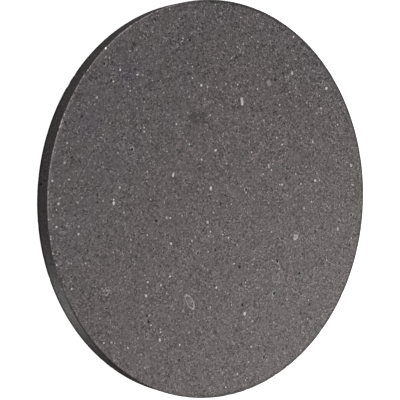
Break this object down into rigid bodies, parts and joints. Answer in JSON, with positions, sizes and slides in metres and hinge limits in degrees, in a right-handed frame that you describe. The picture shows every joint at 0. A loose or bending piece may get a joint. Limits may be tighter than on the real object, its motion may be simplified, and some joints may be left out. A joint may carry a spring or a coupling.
{
  "type": "massage stone",
  "caption": "Flat round disc of dark honed basalt with a square rim and fine arrises, warmed or chilled and then laid on or rubbed over the body.",
  "frame": {"origin": "centre of the lower flat face, on the surface that the stone lies on", "axes": "+Z along the disc's axis, up out of the upper flat face; X and Y lie in the faces"},
  "size_m": [0.2, 0.2, 0.01],
  "materials": {
    "basalt": "matte"
  },
  "bodies": {
    "root": {"stone_disc": "basalt"}
  },
  "joints": []
}
